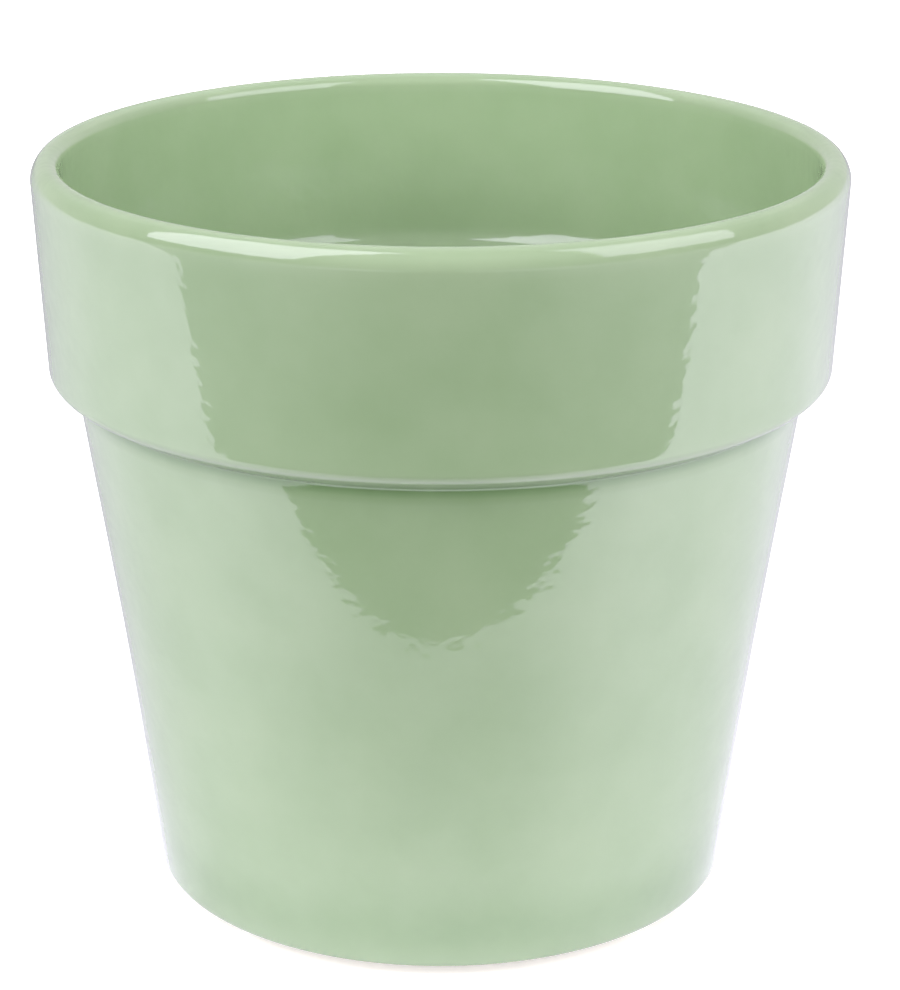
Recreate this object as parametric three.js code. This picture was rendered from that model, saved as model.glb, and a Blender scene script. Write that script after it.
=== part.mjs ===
// A glazed earthenware cover pot for a house plant, with a wide collar under its rim.
// It stands on small soft pads stuck under its foot ring, so that it doesn't scratch a sill.
// Millimetres, +Z up, with the origin on the table below the centre of the pot.
import * as THREE from "three";

// The pot as it would be ordered
const RIM_DIAMETER = 140;
const POT_HEIGHT = 130;
const FOOT_DIAMETER = 102;
const WALL = 5.1;

// The collar: from the rim to the corner on the body, its taper, overhang and sloping underside
const COLLAR_HEIGHT = 40;
const COLLAR_TAPER = 2.1;
const COLLAR_OVERHANG = 4.5;
const COLLAR_UNDERSIDE_DROP = 2.6;
const COLLAR_EDGE_ROUNDING = 2.1;
const COLLAR_CORNER_FILLET = 0.7;

// The rim, sponged round: two shoulders that turn up to an angle above level, with a crest between
const RIM_OUTSIDE_ROUNDING = 3.6;
const RIM_INSIDE_ROUNDING = 2.1;
const RIM_SHOULDER_ANGLE = 50;

// The body's side is drawn in a little low down, so that it stands steeper towards the foot
const BODY_DRAW_IN = 0.8;
const BODY_BEND_HEIGHT = 29;
const BODY_BEND_RADIUS = 1050;
const FOOT_ROUNDING = 1.5;

// The inside follows the outside, with the clay thicker over the collar's underside
const LEDGE_THICKNESS = 6.3;
const LEDGE_FILLET = 4.0;
const LEDGE_ROUNDING = 3.8;
const FLOOR_THICKNESS = 5.5;
const FLOOR_FILLET = 9.0;

// The pads, and the foot ring that is wide enough to carry them
const PAD_COUNT = 4;
const PAD_DIAMETER = 8;
const PAD_HEIGHT = 1.5;
const PAD_EDGE_ROUNDING = 0.8;
const PAD_MARGIN = 0.7;
const FIRST_PAD_ANGLE = 45;

// The underside inside the foot ring, hollowed so that only the ring would touch
const RECESS_DEPTH = 2.0;
const RECESS_SLOPE = 3.0;
const RECESS_ROUNDING = 1.5;
const RING_INSIDE_ROUNDING = 1.0;

// Fineness of the facets: steps round the axis, and the widest turn and length of one step of an arc
const POT_STEPS = 80;
const PAD_STEPS = 24;
const DEGREES_PER_STEP = 20;
const LONGEST_STEP = 11;

// Points of an outline nearer than this are one
const SEAM = 1e-6;

const glaze = new THREE.MeshStandardMaterial({ color: 0x9cb78f, roughness: 0.12, metalness: 0 });
const silicone = new THREE.MeshStandardMaterial({ color: 0xd9dcd6, roughness: 0.45, metalness: 0 });

// A corner of an outline at a point, with the radius of its rounding.
function cornerAt(at, rounding = 0) {
  return { at, rounding };
}

// A corner by its radius from the axis and its height.
function corner(radius, height, rounding) {
  return cornerAt(new THREE.Vector2(radius, height), rounding);
}

// The level line at a height.
function levelLine(height) {
  return { start: new THREE.Vector2(0, height), along: new THREE.Vector2(1, 0) };
}

// The line along one side of an outline, moved to its left by a thickness.
function shiftedSide(from, to, thickness) {
  const along = to.clone().sub(from).normalize();
  const left = new THREE.Vector2(-along.y, along.x);
  return { start: from.clone().addScaledVector(left, thickness), along };
}

// The point where two such lines cross.
function crossing(first, second) {
  const between = second.start.clone().sub(first.start);
  const share = between.cross(second.along) / first.along.cross(second.along);
  return first.start.clone().addScaledVector(first.along, share);
}

// How far along its two sides each corner's rounding reaches, held back where a side is too short.
function roundingReaches(corners) {
  const sides = corners.slice(1).map((next, i) => next.at.clone().sub(corners[i].at));
  const reaches = corners.map((c, i) => {
    if (!c.rounding) return 0;
    const turn = Math.abs(sides[i - 1].angleTo(sides[i]));
    return c.rounding * Math.tan(turn / 2);
  });
  const room = sides.map((side, i) => {
    const wanted = reaches[i] + reaches[i + 1];
    return wanted > 0 ? Math.min(1, side.length() / wanted) : 1;
  });
  return reaches.map((reach, i) => reach * Math.min(room[i - 1] ?? 1, room[i] ?? 1));
}

// The number of straight steps that stand for an arc: even, so that the rim's crest has a point on top.
function stepsAlong(turn, radius) {
  const byTurn = THREE.MathUtils.radToDeg(turn) / DEGREES_PER_STEP;
  const byLength = (turn * radius) / LONGEST_STEP;
  return 2 * Math.ceil(Math.max(byTurn, byLength) / 2 - SEAM);
}

// The outline through a list of corners, with an arc at each one that is rounded.
function roundedOutline(corners) {
  const reaches = roundingReaches(corners);
  const points = [];
  corners.forEach((c, i) => {
    if (!c.rounding) {
      points.push(c.at.clone());
      return;
    }
    const before = c.at.clone().sub(corners[i - 1].at).normalize();
    const after = corners[i + 1].at.clone().sub(c.at).normalize();
    const turn = Math.atan2(before.cross(after), before.dot(after));
    const radius = reaches[i] / Math.tan(Math.abs(turn) / 2);
    const side = Math.sign(turn);
    const start = c.at.clone().addScaledVector(before, -reaches[i]);
    const centre = start.clone().addScaledVector(new THREE.Vector2(-before.y, before.x), side * radius);
    const steps = stepsAlong(Math.abs(turn), radius);
    for (let step = 0; step <= steps; step++) {
      points.push(start.clone().rotateAround(centre, (turn * step) / steps));
    }
  });
  return points.filter((point, i) => i === 0 || point.distanceTo(points[i - 1]) > SEAM);
}

// A solid turned round the Z axis from an outline that starts and ends on the axis.
function turned(corners, steps) {
  return new THREE.LatheGeometry(roundedOutline(corners), steps).rotateX(Math.PI / 2);
}

const rimRadius = RIM_DIAMETER / 2;
const footRadius = FOOT_DIAMETER / 2;
const ringWidth = FOOT_ROUNDING + RING_INSIDE_ROUNDING + PAD_DIAMETER + 2 * PAD_MARGIN;
const padCircleRadius = footRadius - FOOT_ROUNDING - PAD_MARGIN - PAD_DIAMETER / 2;

// The line that touches a circle where the circle faces along a normal.
function tangentLine(centre, radius, normal) {
  return {
    start: centre.clone().addScaledVector(normal, radius),
    along: new THREE.Vector2(-normal.y, normal.x),
  };
}

// The collar's side and the rim above it: the outside shoulder, the crest and the slope down inside it.
// The crest gets the radius that leaves the wall its thickness between two sides of the same lean.
function collarAndRim(edgeHeight) {
  const lean = Math.atan(COLLAR_TAPER / (POT_HEIGHT - edgeHeight));
  const angle = THREE.MathUtils.degToRad(RIM_SHOULDER_ANGLE);
  const outward = new THREE.Vector2(Math.cos(angle), Math.sin(angle));
  const inward = new THREE.Vector2(-outward.x, outward.y);
  const shoulders = RIM_OUTSIDE_ROUNDING + RIM_INSIDE_ROUNDING;
  const offset = outward.y * Math.sin(lean) * (RIM_OUTSIDE_ROUNDING - RIM_INSIDE_ROUNDING);
  const crestRadius = (shoulders + (WALL - shoulders - offset) / (outward.x * Math.cos(lean))) / 2;
  const crestCentre = new THREE.Vector2(
    rimRadius - RIM_OUTSIDE_ROUNDING + (RIM_OUTSIDE_ROUNDING - crestRadius) * outward.x,
    POT_HEIGHT - crestRadius,
  );
  const shoulderCentre = crestCentre.clone().addScaledVector(outward, crestRadius - RIM_OUTSIDE_ROUNDING);
  const sideNormal = new THREE.Vector2(Math.cos(lean), -Math.sin(lean));
  const collarSide = tangentLine(shoulderCentre, RIM_OUTSIDE_ROUNDING, sideNormal);
  const outsideSlope = tangentLine(crestCentre, crestRadius, outward);
  const insideSlope = tangentLine(crestCentre, crestRadius, inward);
  return {
    collarEdge: cornerAt(crossing(collarSide, levelLine(edgeHeight)), COLLAR_EDGE_ROUNDING),
    rimOutside: cornerAt(crossing(collarSide, outsideSlope), RIM_OUTSIDE_ROUNDING),
    rimCrest: cornerAt(crossing(outsideSlope, insideSlope), crestRadius),
    insideSlope,
  };
}

// The outside of the wall, from the foot up to the rim's crest
function outsideCorners() {
  const foot = corner(footRadius, 0, FOOT_ROUNDING);
  const collarCorner = corner(
    rimRadius - COLLAR_TAPER - COLLAR_OVERHANG,
    POT_HEIGHT - COLLAR_HEIGHT,
    COLLAR_CORNER_FILLET,
  );
  const bendShare = BODY_BEND_HEIGHT / collarCorner.at.y;
  const straightSide = THREE.MathUtils.lerp(footRadius, collarCorner.at.x, bendShare);
  const bend = corner(straightSide - BODY_DRAW_IN, BODY_BEND_HEIGHT, BODY_BEND_RADIUS);
  return { foot, bend, collarCorner, ...collarAndRim(collarCorner.at.y + COLLAR_UNDERSIDE_DROP) };
}

// The inside of the wall, from the rim down to the floor, each side at its own thickness
function insideCorners({ foot, bend, collarCorner, collarEdge, rimOutside, insideSlope }) {
  const lowerSide = shiftedSide(foot.at, bend.at, WALL);
  const upperSide = shiftedSide(bend.at, collarCorner.at, WALL);
  const ledge = shiftedSide(collarCorner.at, collarEdge.at, LEDGE_THICKNESS);
  const collarSide = shiftedSide(collarEdge.at, rimOutside.at, WALL);
  const floorLevel = levelLine(RECESS_DEPTH + FLOOR_THICKNESS);
  return [
    cornerAt(crossing(insideSlope, collarSide), RIM_INSIDE_ROUNDING),
    cornerAt(crossing(ledge, collarSide), LEDGE_FILLET),
    cornerAt(crossing(upperSide, ledge), LEDGE_ROUNDING),
    cornerAt(crossing(lowerSide, upperSide), BODY_BEND_RADIUS + WALL),
    cornerAt(crossing(lowerSide, floorLevel), FLOOR_FILLET),
    cornerAt(floorLevel.start),
  ];
}

// The underside, from the axis out to the foot ring's inner edge
function undersideCorners() {
  const ringInside = footRadius - ringWidth;
  return [
    corner(0, RECESS_DEPTH),
    corner(ringInside - RECESS_SLOPE, RECESS_DEPTH, RECESS_ROUNDING),
    corner(ringInside, 0, RING_INSIDE_ROUNDING),
  ];
}

function potBody() {
  const outside = outsideCorners();
  const corners = [
    ...undersideCorners(),
    outside.foot,
    outside.bend,
    outside.collarCorner,
    outside.collarEdge,
    outside.rimOutside,
    outside.rimCrest,
    ...insideCorners(outside),
  ];
  const mesh = new THREE.Mesh(turned(corners, POT_STEPS), glaze);
  mesh.name = "pot_body";
  mesh.position.z = PAD_HEIGHT;
  return mesh;
}

// A soft round pad, flat on top where it is stuck to the foot ring and rounded below
function footPad(number) {
  const corners = [
    corner(0, 0),
    corner(PAD_DIAMETER / 2, 0, PAD_EDGE_ROUNDING),
    corner(PAD_DIAMETER / 2, PAD_HEIGHT),
    corner(0, PAD_HEIGHT),
  ];
  const mesh = new THREE.Mesh(turned(corners, PAD_STEPS), silicone);
  mesh.name = `foot_pad_${number}`;
  const angle = THREE.MathUtils.degToRad(FIRST_PAD_ANGLE + ((number - 1) * 360) / PAD_COUNT);
  mesh.position.set(padCircleRadius * Math.cos(angle), padCircleRadius * Math.sin(angle), 0);
  return mesh;
}

const coverPot = new THREE.Group();
coverPot.add(potBody());
for (let number = 1; number <= PAD_COUNT; number++) {
  coverPot.add(footPad(number));
}

export default coverPot;
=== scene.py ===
import math

import bmesh
import bpy
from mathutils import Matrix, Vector, noise


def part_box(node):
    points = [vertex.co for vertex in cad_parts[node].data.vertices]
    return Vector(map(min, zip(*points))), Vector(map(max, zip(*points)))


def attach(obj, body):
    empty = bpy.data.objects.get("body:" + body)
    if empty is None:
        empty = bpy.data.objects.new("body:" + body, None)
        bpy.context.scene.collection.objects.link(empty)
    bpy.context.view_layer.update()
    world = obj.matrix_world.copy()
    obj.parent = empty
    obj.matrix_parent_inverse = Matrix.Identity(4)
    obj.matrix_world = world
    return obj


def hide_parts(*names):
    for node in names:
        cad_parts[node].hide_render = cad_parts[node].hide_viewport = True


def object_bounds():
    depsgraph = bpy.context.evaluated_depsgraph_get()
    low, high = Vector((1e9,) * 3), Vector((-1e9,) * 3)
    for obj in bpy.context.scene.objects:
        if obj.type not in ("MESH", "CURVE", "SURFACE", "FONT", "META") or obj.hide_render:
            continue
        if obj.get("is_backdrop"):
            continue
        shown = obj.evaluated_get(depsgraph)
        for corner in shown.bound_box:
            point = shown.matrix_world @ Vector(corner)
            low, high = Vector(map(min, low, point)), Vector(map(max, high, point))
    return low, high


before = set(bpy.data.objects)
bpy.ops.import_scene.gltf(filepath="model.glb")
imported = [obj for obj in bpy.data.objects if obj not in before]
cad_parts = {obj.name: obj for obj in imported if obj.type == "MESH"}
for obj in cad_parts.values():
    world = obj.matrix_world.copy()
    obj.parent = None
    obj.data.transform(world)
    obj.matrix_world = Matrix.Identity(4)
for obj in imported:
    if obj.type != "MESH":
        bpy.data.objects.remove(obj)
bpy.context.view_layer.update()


# The pot body
# One slip-cast earthenware body: tapered wall, collar under a rounded rim, an inside ledge
# behind the collar, a floor and a foot ring. It was dipped in an opaque sage green glaze and
# wiped bare under the foot, so the clay and the glaze are one fired piece.

MM = 0.001
PAD_HEIGHT = 1.5

# The wall's corners from the middle of the underside round to the middle of the floor: radius,
# height above the foot ring and radius of the rounding, in millimetres. The ledge stands 1.5 mm
# higher than in the solids, where its bright edge shows above the near lip.
WALL_CORNERS = {
    "recess_centre": (0.0, 2.0, 0.0),
    "recess_edge": (36.1, 2.0, 1.5),
    "inner_glaze_line": (38.0, 0.70, 0.12),
    "inner_bare_line": (38.15, 0.80, 0.03),
    "ring_inside": (39.1, 0.0, 0.9),
    "ring_outside": (50.25, 0.0, 1.1),
    "outer_bare_line": (50.66, 0.46, 0.03),
    "outer_glaze_line": (50.80, 0.42, 0.1),
    "foot_side": (51.10, 0.90, 1.2),
    "bend": (54.196, 29.0, 1050.0),
    "collar_corner": (63.4, 90.0, 0.7),
    "collar_edge": (68.091, 92.6, 2.1),
    "rim_outside": (70.095, 128.295, 3.6),
    "rim_crest": (67.215, 130.712, 2.332),
    "rim_inside": (65.02, 128.87, 2.1),
    "ledge_outside": (63.236, 98.6, 4.0),
    "ledge_inside": (58.958, 96.2, 3.8),
    "inside_bend": (49.137, 29.66, 1055.0),
    "floor_edge": (46.696, 7.5, 9.0),
    "floor_centre": (0.0, 7.5, 0.0),
}

# The steps in a rounding, in each of the side's two long bends and in the turn round the axis
ROUNDING_STEPS = 8
LONG_BEND_STEPS = 20
STEPS_ROUND = 240
# In mm: how often a straight side is cut, so that the glaze's waves show in it, the rounding
# above which a bend is a long one, and how near each other the doubles of the spin lie
SIDE_STEP = 1.35
LONG_BEND = 100.0
SEAM = 0.001


def reach(before, at, after, rounding):
    """How far along its two sides the rounding of a corner starts."""
    return rounding * math.tan((at - before).angle(after - at) / 2)


wall = bmesh.new()
corners = WALL_CORNERS.values()
points = [Vector((radius, 0, height + PAD_HEIGHT)) * MM for radius, height, _ in corners]
roundings = [rounding * MM for _, _, rounding in corners]
turned_line = [wall.verts.new(point) for point in points]
for first, second in zip(turned_line, turned_line[1:]):
    wall.edges.new((first, second))
for i, rounding in enumerate(roundings):
    if rounding:
        bmesh.ops.bevel(
            wall, geom=[turned_line[i]],
            offset=reach(points[i - 1], points[i], points[i + 1], rounding), offset_type="OFFSET",
            segments=LONG_BEND_STEPS if rounding > LONG_BEND * MM else ROUNDING_STEPS,
            profile=0.5, affect="VERTICES", material=-1,
        )
for edge in wall.edges[:]:
    cuts = int(edge.calc_length() / (SIDE_STEP * MM))
    if cuts:
        bmesh.ops.subdivide_edges(wall, edges=[edge], cuts=cuts)
bmesh.ops.spin(
    wall, geom=wall.verts[:] + wall.edges[:], axis=(0, 0, 1), cent=(0, 0, 0),
    angle=2 * math.pi, steps=STEPS_ROUND, use_merge=True,
)
bmesh.ops.remove_doubles(wall, verts=wall.verts[:], dist=SEAM * MM)
bmesh.ops.recalc_face_normals(wall, faces=wall.faces[:])

# How thick the glaze lies, from 0 for thin and pale to 1 for thick and deep, with painted shade
# in the corner under the collar: its even level, and where it draws thin over an outer corner or
# pools in an inner one, as a change and its reach in mm
EVEN_GLAZE = 0.5
GLAZE_THICKNESS_AND_SHADE = {
    "rim_outside": (-0.12, 2.5),
    "rim_inside": (-0.12, 1.5),
    "collar_edge": (-0.05, 1.8),
    # Painted shade as well as pooled glaze: the corner under the collar is drawn deeper for the shade
    # that the collar casts on the wall below it
    "collar_corner": (0.45, 1.6),
    "floor_edge": (0.35, 6.0),
}
glaze_and_shade_layer = wall.verts.layers.float.new("glaze_thickness_and_shade")
for vertex in wall.verts:
    at = Vector((math.hypot(vertex.co.x, vertex.co.y) / MM, vertex.co.z / MM - PAD_HEIGHT))
    thickness_and_shade = EVEN_GLAZE
    for name, (change, spread) in GLAZE_THICKNESS_AND_SHADE.items():
        away = (at - Vector(WALL_CORNERS[name][:2])).length
        thickness_and_shade += change * math.exp(-((away / spread) ** 2))
    vertex[glaze_and_shade_layer] = thickness_and_shade

# The fired glaze isn't flat: broad dips from draining and short ones, each with its height and
# length in mm and how close it lies upwards, where 1 is as close as round the pot. They end
# above the foot, which stays true to its solid.
WAVES = ((0.030, 34.0, 1.0), (0.016, 9.0, 0.7))
WAVES_START = 1.0
WAVES_GROW = 3.0


def wave_height(at):
    """Height of the glaze's waves at a point of the surface, in metres."""
    return sum(
        amount * MM * noise.noise(Vector((at.x, at.y, at.z * closeness)) / (length * MM))
        for amount, length, closeness in WAVES
    )


for vertex in wall.verts:
    share = min(1.0, max(0.0, vertex.co.z / MM - PAD_HEIGHT - WAVES_START) / WAVES_GROW)
    vertex.co += vertex.normal * wave_height(vertex.co) * share


def finished_mesh(name, shaped):
    """Turns a shaped bmesh into a mesh and frees it."""
    mesh = bpy.data.meshes.new(name)
    shaped.to_mesh(mesh)
    shaped.free()
    return mesh


def add_object(name, data):
    """Puts a mesh, lamp or camera into the scene as an object at the origin."""
    made = bpy.data.objects.new(name, data)
    bpy.context.scene.collection.objects.link(made)
    return made


for face in wall.faces:
    face.smooth = True
pot_mesh = finished_mesh("pot_body_glazed", wall)
pot = add_object("pot_body_glazed", pot_mesh)


def linear(hex_colour):
    """An sRGB hex colour as the linear colour that a shader takes."""
    parts = [int(hex_colour[i:i + 2], 16) / 255 for i in (1, 3, 5)]
    return [c / 12.92 if c <= 0.04045 else ((c + 0.055) / 1.055) ** 2.4 for c in parts] + [1.0]


def node(tree, kind, inputs=None, **settings):
    """Adds a node: its own settings, and its inputs as values or as the sockets that feed them."""
    made = tree.nodes.new(kind)
    for name, value in settings.items():
        setattr(made, name, value)
    for socket, value in (inputs or {}).items():
        if isinstance(value, bpy.types.NodeSocket):
            tree.links.new(value, made.inputs[socket])
        else:
            made.inputs[socket].default_value = value
    return made


def new_material(name):
    """A material with an empty node tree."""
    made = bpy.data.materials.new(name)
    made.use_nodes = True
    made.node_tree.nodes.clear()
    return made


# Opaque sage green earthenware glaze, dipped and fired glossy: a mirror-smooth glassy skin over
# an even colour, paler where it draws thin over the edges and deeper where it pools, and deeper
# under the collar with painted shade. Its IOR is above the usual 1.55 or so, matched to how
# strongly the photographed glaze mirrors.
# In mm: the length of its faint clouding, and the length and height of the small ripples in its
# skin, which give the mirrored edges their teeth.
CLOUDING_LENGTH = 16.667
RIPPLE_LENGTH = 2.3256
RIPPLE_HEIGHT = 0.046
glaze = new_material("sage_glaze_dipped_and_fired")
tree = glaze.node_tree
where = node(tree, "ShaderNodeTexCoord")
thickness_and_shade = node(tree, "ShaderNodeAttribute", attribute_name="glaze_thickness_and_shade")
cloud = node(tree, "ShaderNodeTexNoise", {
    "Vector": where.outputs["Object"], "Scale": 1 / (CLOUDING_LENGTH * MM), "Detail": 3.0,
})
mottle = node(tree, "ShaderNodeMapRange", {
    "Value": cloud.outputs["Fac"], "From Min": 0.3, "From Max": 0.7, "To Min": -0.06, "To Max": 0.06,
})
depth_and_shade = node(tree, "ShaderNodeMath", {
    0: thickness_and_shade.outputs["Fac"], 1: mottle.outputs["Result"],
}, operation="ADD")
tone = node(tree, "ShaderNodeValToRGB", {"Fac": depth_and_shade.outputs["Value"]})
thin_tone, deep_and_shaded_tone = tone.color_ramp.elements
thin_tone.position, thin_tone.color = 0.1, linear("#B6C7A7")
# The deep tone stands for pooled glaze, and for painted shade in the corner under the collar
deep_and_shaded_tone.position, deep_and_shaded_tone.color = 0.95, linear("#7B9A6A")
even_tone = tone.color_ramp.elements.new(EVEN_GLAZE)
even_tone.color = linear("#9FB691")
# The ripples lie a tenth closer together upwards than round the pot
ripple_coordinates = node(tree, "ShaderNodeMapping", {
    "Vector": where.outputs["Object"], "Scale": (1.0, 1.0, 1.1),
})
ripple = node(tree, "ShaderNodeTexNoise", {
    "Vector": ripple_coordinates.outputs["Vector"], "Scale": 1 / (RIPPLE_LENGTH * MM),
    "Detail": 0.8, "Roughness": 0.5,
})
bump = node(tree, "ShaderNodeBump", {
    "Height": ripple.outputs["Fac"], "Strength": 1.0, "Distance": RIPPLE_HEIGHT * MM,
})
shader = node(tree, "ShaderNodeBsdfPrincipled", {
    "Base Color": tone.outputs["Color"], "Roughness": 0.05, "IOR": 1.85,
    "Normal": bump.outputs["Normal"],
})
node(tree, "ShaderNodeOutputMaterial", {"Surface": shader.outputs["BSDF"]})

# Bare fired clay where the glaze was sponged off the foot ring: matt, fine-grained, pale buff.
# In mm: the length of its blotches, and the length and height of its grain, which is drawn
# coarser than the real one so that it shows.
BLOTCH_LENGTH = 8.333
GRAIN_LENGTH = 0.4
GRAIN_HEIGHT = 0.06
clay = new_material("biscuit_earthenware_sponged_bare")
tree = clay.node_tree
where = node(tree, "ShaderNodeTexCoord")
blotches = node(tree, "ShaderNodeTexNoise", {
    "Vector": where.outputs["Object"], "Scale": 1 / (BLOTCH_LENGTH * MM), "Detail": 4.0,
})
# Sockets 6 and 7 take the two colours that are mixed, and output 2 gives the mixed one
clay_tone = node(tree, "ShaderNodeMix", {
    "Factor": blotches.outputs["Fac"], 6: linear("#CDB9A0"), 7: linear("#E3D5C0"),
}, data_type="RGBA")
grain = node(tree, "ShaderNodeTexNoise", {
    "Vector": where.outputs["Object"], "Scale": 1 / (GRAIN_LENGTH * MM), "Detail": 2.0,
})
grain_bump = node(tree, "ShaderNodeBump", {
    "Height": grain.outputs["Fac"], "Strength": 0.6, "Distance": GRAIN_HEIGHT * MM,
})
shader = node(tree, "ShaderNodeBsdfPrincipled", {
    "Base Color": clay_tone.outputs[2], "Roughness": 0.85, "IOR": 1.5,
    "Normal": grain_bump.outputs["Normal"],
})
node(tree, "ShaderNodeOutputMaterial", {"Surface": shader.outputs["BSDF"]})

pot_mesh.materials.append(glaze)
pot_mesh.materials.append(clay)
inner_line, outer_line = WALL_CORNERS["inner_bare_line"], WALL_CORNERS["outer_bare_line"]
for face in pot_mesh.polygons:
    radius = math.hypot(face.center.x, face.center.y) / MM
    height = face.center.z / MM - PAD_HEIGHT
    if inner_line[0] < radius < outer_line[0] and height < inner_line[1]:
        face.material_index = 1
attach(pot, "root")
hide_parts("pot_body")


# The pads under the foot ring
# Four small clear silicone pads, moulded with a rounded lower edge and stuck to the bare foot
# ring, so that the pot doesn't scratch a sill.

PAD_COUNT = 4
PAD_RADIUS = 4.0
PAD_ROUNDING = 0.8
# How upright the normal of a level face is: the pad's two level faces aren't shaded smooth
LEVEL_FACE = 0.99

# Clear silicone, moulded: colourless and softly shining, and at 1.5 mm over pale clay it looks
# like a pale grey solid.
silicone = new_material("clear_silicone_moulded")
tree = silicone.node_tree
shader = node(tree, "ShaderNodeBsdfPrincipled", {
    "Base Color": linear("#D9DCD6"), "Roughness": 0.35, "IOR": 1.41,
})
node(tree, "ShaderNodeOutputMaterial", {"Surface": shader.outputs["BSDF"]})

for number in range(1, PAD_COUNT + 1):
    name = f"foot_pad_{number}"
    lowest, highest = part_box(name)
    centre = (lowest + highest) / 2
    pad = bmesh.new()
    disc = bmesh.ops.create_circle(pad, cap_ends=True, radius=PAD_RADIUS * MM, segments=64)
    bmesh.ops.translate(pad, verts=disc["verts"], vec=(centre.x, centre.y, highest.z))
    drawn = bmesh.ops.extrude_face_region(pad, geom=pad.faces[:])
    lower = [v for v in drawn["geom"] if isinstance(v, bmesh.types.BMVert)]
    bmesh.ops.translate(pad, verts=lower, vec=(0, 0, lowest.z - highest.z))
    rim = [e for e in pad.edges if all(v in lower for v in e.verts)]
    bmesh.ops.bevel(
        pad, geom=rim, offset=PAD_ROUNDING * MM, offset_type="OFFSET", segments=6, profile=0.5,
        affect="EDGES", material=-1,
    )
    bmesh.ops.recalc_face_normals(pad, faces=pad.faces[:])
    for face in pad.faces:
        face.smooth = abs(face.normal.z) < LEVEL_FACE
    pad_mesh = finished_mesh(f"silicone_pad_{number}", pad)
    pad_mesh.materials.append(silicone)
    pad_piece = add_object(f"silicone_pad_{number}", pad_mesh)
    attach(pad_piece, "root")
    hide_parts(name)


# The studio
# A white table top that ends a little in front of the pot, with a darker room beyond its edge.
# Soft light comes from the front, both sides, behind and above, and the rim mirrors two panels.

WHITE = (1.0, 1.0, 1.0, 1.0)
# The table, the room and the panels are slightly cool where the glaze mirrors them, which
# greys its pale zones a little
COOL_WHITE = linear("#F3EDFF")


def stage_card(name, corners, material):
    """A flat stage piece from its four corners."""
    sheet = bmesh.new()
    sheet.faces.new([sheet.verts.new(corner) for corner in corners])
    mesh = finished_mesh(name, sheet)
    mesh.materials.append(material)
    made = add_object(name, mesh)
    made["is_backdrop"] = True
    return made


# The camera sees the table white with the pot's soft shadow. The glaze mirrors it brighter in
# front and to the sides, where the light falls, than behind.
FLOOR_HALF = 4.0
floor_material = new_material("white_table_laminate")
tree = floor_material.node_tree
rays = node(tree, "ShaderNodeLightPath")
seen = node(tree, "ShaderNodeMath", {
    0: rays.outputs["Is Camera Ray"], 1: rays.outputs["Is Transmission Ray"],
}, operation="MAXIMUM")
where = node(tree, "ShaderNodeTexCoord")
away = node(tree, "ShaderNodeVectorMath", {0: where.outputs["Object"]}, operation="LENGTH")
whitened = node(tree, "ShaderNodeMapRange", {
    "Value": away.outputs["Value"], "From Min": 0.07, "From Max": 0.17, "To Min": 0.5, "To Max": 1.0,
})
glow = node(tree, "ShaderNodeMath", {
    0: seen.outputs["Value"], 1: whitened.outputs["Result"],
}, operation="MULTIPLY")
laminate = node(tree, "ShaderNodeBsdfPrincipled", {
    "Base Color": linear("#E7E7E7"), "Roughness": 0.9, "Specular IOR Level": 0.0,
    "Emission Color": WHITE, "Emission Strength": glow.outputs["Value"],
})
# On which side of the pot a place on the table lies: Y is -1 straight in front, X is 1 on the right
direction = node(tree, "ShaderNodeVectorMath", {0: where.outputs["Object"]}, operation="NORMALIZE")
axes = node(tree, "ShaderNodeSeparateXYZ", {"Vector": direction.outputs["Vector"]})
forward = node(tree, "ShaderNodeMapRange", {
    "Value": axes.outputs["Y"], "From Min": 0.75, "From Max": -0.3, "To Min": 0.40, "To Max": 1.0,
})
left_side = node(tree, "ShaderNodeMapRange", {
    "Value": axes.outputs["X"], "From Min": -0.3, "From Max": -0.9, "To Min": 0.0, "To Max": 0.95,
})
right_side = node(tree, "ShaderNodeMapRange", {
    "Value": axes.outputs["X"], "From Min": 0.25, "From Max": 0.85, "To Min": 0.0, "To Max": 1.25,
})
nearby = node(tree, "ShaderNodeMapRange", {
    "Value": away.outputs["Value"], "From Min": 0.11, "From Max": 0.055, "To Min": 0.0, "To Max": 1.0,
})
in_front = node(tree, "ShaderNodeMapRange", {
    "Value": axes.outputs["Y"], "From Min": -0.5, "From Max": -1.0, "To Min": 0.0, "To Max": 0.85,
})
behind = node(tree, "ShaderNodeMapRange", {
    "Value": axes.outputs["Y"], "From Min": 0.45, "From Max": 0.95, "To Min": 0.0, "To Max": 0.10,
})
foot_light = node(tree, "ShaderNodeMath", {
    0: nearby.outputs["Result"], 1: in_front.outputs["Result"],
}, operation="MULTIPLY")
both_sides = node(tree, "ShaderNodeMath", {
    0: left_side.outputs["Result"], 1: right_side.outputs["Result"],
}, operation="ADD")
widening = node(tree, "ShaderNodeMapRange", {
    "Value": away.outputs["Value"], "From Min": 0.08, "From Max": 0.25, "To Min": 0.68, "To Max": 1.0,
})
side_light = node(tree, "ShaderNodeMath", {
    0: both_sides.outputs["Value"], 1: widening.outputs["Result"],
}, operation="MULTIPLY")
mirrored = forward.outputs["Result"]
for added in (side_light.outputs["Value"], foot_light.outputs["Value"], behind.outputs["Result"]):
    mirrored = node(tree, "ShaderNodeMath", {0: mirrored, 1: added}, operation="ADD").outputs["Value"]
light = node(tree, "ShaderNodeEmission", {"Color": COOL_WHITE, "Strength": mirrored})
table = node(tree, "ShaderNodeMixShader", {
    0: rays.outputs["Is Glossy Ray"], 1: laminate.outputs["BSDF"], 2: light.outputs["Emission"],
})
node(tree, "ShaderNodeOutputMaterial", {"Surface": table.outputs["Shader"]})
stage_card("white_table", [
    (-FLOOR_HALF, -FLOOR_HALF, 0), (FLOOR_HALF, -FLOOR_HALF, 0),
    (FLOOR_HALF, FLOOR_HALF, 0), (-FLOOR_HALF, FLOOR_HALF, 0),
], floor_material)

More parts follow.
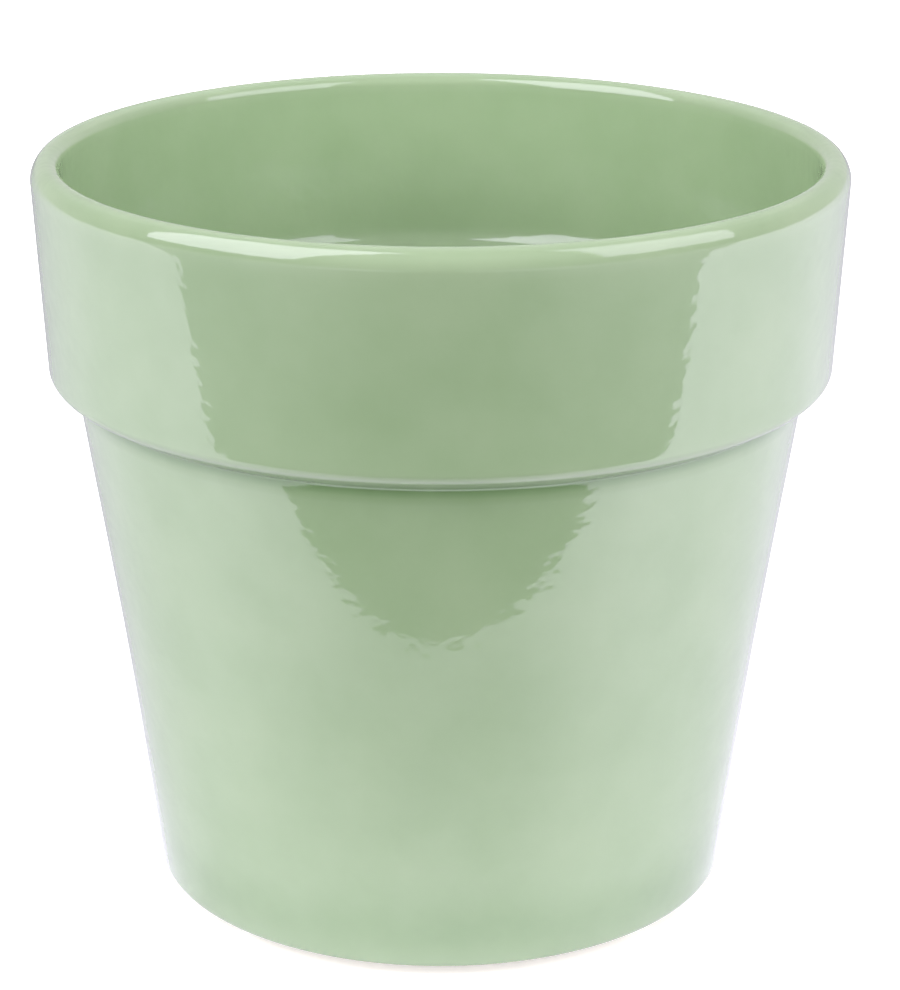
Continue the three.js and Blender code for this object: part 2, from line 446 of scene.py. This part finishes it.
# The room beyond the table's front edge is seen by the glaze alone, dark in the middle and
# brighter to the sides. Its card lies just above the table, in metres.
TABLE_FRONT = -0.138
ROOM_HALF = 3.0
ROOM_HEIGHT = 0.0005
dark_room = new_material("dark_room_beyond_the_table")
tree = dark_room.node_tree
where = node(tree, "ShaderNodeTexCoord")
axes = node(tree, "ShaderNodeSeparateXYZ", {"Vector": where.outputs["Object"]})
sideways = node(tree, "ShaderNodeMath", {0: axes.outputs["X"]}, operation="ABSOLUTE")
dimmed = node(tree, "ShaderNodeMapRange", {
    "Value": sideways.outputs["Value"], "From Min": 0.08, "From Max": 0.35,
    "To Min": 0.02, "To Max": 0.6,
})
light = node(tree, "ShaderNodeEmission", {
    "Color": COOL_WHITE, "Strength": dimmed.outputs["Result"],
})
node(tree, "ShaderNodeOutputMaterial", {"Surface": light.outputs["Emission"]})
room = stage_card("dark_room", [
    (-ROOM_HALF, -ROOM_HALF, ROOM_HEIGHT), (ROOM_HALF, -ROOM_HALF, ROOM_HEIGHT),
    (ROOM_HALF, TABLE_FRONT, ROOM_HEIGHT), (-ROOM_HALF, TABLE_FRONT, ROOM_HEIGHT),
], dark_room)
room.visible_camera = False
room.visible_shadow = False
room.visible_transmission = False

# The camera sees white all round. The glaze mirrors a pale wall behind the pot, a dim ceiling
# above it and nothing in front.
world = bpy.data.worlds.new("white_studio")
world.use_nodes = True
world.node_tree.nodes.clear()
bpy.context.scene.world = world
tree = world.node_tree
rays = node(tree, "ShaderNodeLightPath")
seen = node(tree, "ShaderNodeMath", {
    0: rays.outputs["Is Camera Ray"], 1: rays.outputs["Is Transmission Ray"],
}, operation="MAXIMUM")
where = node(tree, "ShaderNodeTexCoord")
axes = node(tree, "ShaderNodeSeparateXYZ", {"Vector": where.outputs["Generated"]})
wall_behind = node(tree, "ShaderNodeMapRange", {
    "Value": axes.outputs["Y"], "From Min": -0.2, "From Max": 0.8, "To Min": 0.0, "To Max": 0.80,
})
upward = node(tree, "ShaderNodeMapRange", {
    "Value": axes.outputs["Z"], "From Min": 0.35, "From Max": 0.75, "To Min": 0.0, "To Max": 0.42,
})
room_light = node(tree, "ShaderNodeMath", {
    0: wall_behind.outputs["Result"], 1: upward.outputs["Result"],
}, operation="ADD")
mirrored = node(tree, "ShaderNodeMath", {
    0: room_light.outputs["Value"], 1: rays.outputs["Is Glossy Ray"],
}, operation="MULTIPLY")
level = node(tree, "ShaderNodeMath", {
    0: mirrored.outputs["Value"], 1: seen.outputs["Value"],
}, operation="MAXIMUM")
background = node(tree, "ShaderNodeBackground", {
    "Color": WHITE, "Strength": level.outputs["Value"],
})
node(tree, "ShaderNodeOutputWorld", {"Surface": background.outputs["Background"]})


RIM_HEIGHT = 0.13
LAMP_DISTANCE = 1.2


def studio_light(name, aim, turned, distance, width, height, power):
    """An area lamp that faces the rim from an azimuth and elevation, or is turned from that.

    Azimuth 0 is the camera's side and 90 is +X. Lengths are in metres and angles in degrees.
    """
    def towards(azimuth, elevation):
        a, e = math.radians(azimuth), math.radians(elevation)
        return Vector((math.sin(a) * math.cos(e), -math.cos(a) * math.cos(e), math.sin(e)))

    lamp = bpy.data.lights.new(name, "AREA")
    lamp.shape = "RECTANGLE"
    lamp.size, lamp.size_y = width, height
    lamp.energy = power
    made = add_object(name, lamp)
    made.location = towards(*aim) * distance + Vector((0, 0, RIM_HEIGHT))
    facing = towards(aim[0] + turned[0], aim[1] + turned[1])
    made.rotation_euler = facing.to_track_quat("Z", "Y").to_euler()
    made.visible_camera = False
    return made


for name, aim, width, height, power in (
    ("left_light", (-70, 30), 1.0, 0.8, 12.2),
    ("right_light", (70, 30), 1.0, 0.8, 11.0),
    ("front_light", (0, 15), 1.2, 0.5, 8.1),
    ("back_light", (180, 40), 1.2, 0.8, 7.5),
    ("top_light", (0, 88), 0.8, 0.8, 1.2),
):
    soft = studio_light(name, aim, (0, 0), LAMP_DISTANCE, width, height, power)
    soft.visible_glossy = False

# The two panels give the rim its bright streaks: the glaze mirrors them, and they light nothing
for name, aim, turned, distance, width, height, power in (
    ("left_panel", (-63.9, 46.4), (7.4, -11.2), 0.493, 0.39, 0.535, 2.1),
    ("right_panel", (71.0, 35.5), (-36.4, -6.2), 0.38, 0.305, 0.269, 0.55),
):
    panel = studio_light(name, aim, turned, distance, width, height, power)
    panel.visible_diffuse = False
    panel.data.color = COOL_WHITE[:3]


# The camera
# It looks down at the pot from the front with a long lens, as in the photograph.

TILT_DOWN = 18.962
camera_data = bpy.data.cameras.new("camera")
camera_data.sensor_width = 36.0
camera_data.lens = 111.87
camera_data.shift_x = 0.00943
camera = add_object("camera", camera_data)
camera.location = (0.0, -0.5177, 0.24676)
camera.rotation_euler = (math.radians(90 - TILT_DOWN), 0.0, 0.0)
bpy.context.scene.camera = camera

bpy.context.scene.view_settings.view_transform = "Standard"

lowest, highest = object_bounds()
